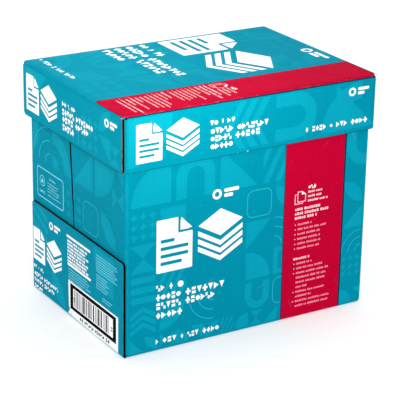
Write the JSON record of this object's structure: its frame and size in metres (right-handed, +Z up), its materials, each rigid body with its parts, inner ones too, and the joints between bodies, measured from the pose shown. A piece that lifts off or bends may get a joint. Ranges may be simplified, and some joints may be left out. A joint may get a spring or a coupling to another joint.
{
  "type": "carton of copier paper",
  "caption": "Closed corrugated carton with a lift-off telescoping lid, packed with a stack of wrapped A4 copier paper reams.",
  "frame": {"origin": "centre of the carton's footprint, on the surface that it stands on", "axes": "+X along the long front face, +Y from the front face to the back face, +Z up; the lid lifts along +Z"},
  "size_m": [0.32, 0.2304, 0.272],
  "materials": {
    "base_board": "teal printed corrugated board with a crimson band, semi-matt water varnish, plain kraft inside",
    "lid_board": "teal printed corrugated board with a crimson strip, semi-matt water varnish, plain kraft inside",
    "ream_wrap": "white coated ream wrapper with a teal printed field, folded and glued ends"
  },
  "bodies": {
    "base": {"carton_base": "base_board", "ream_1": "ream_wrap", "ream_2": "ream_wrap", "ream_3": "ream_wrap", "ream_4": "ream_wrap", "ream_5": "ream_wrap"},
    "lid": {"carton_lid": "lid_board"}
  },
  "joints": [
    {"name": "lid_lift", "type": "slide", "parent": "base", "child": "lid", "axis": [0, 0, 1], "range_m": [0, 0.15]}
  ]
}
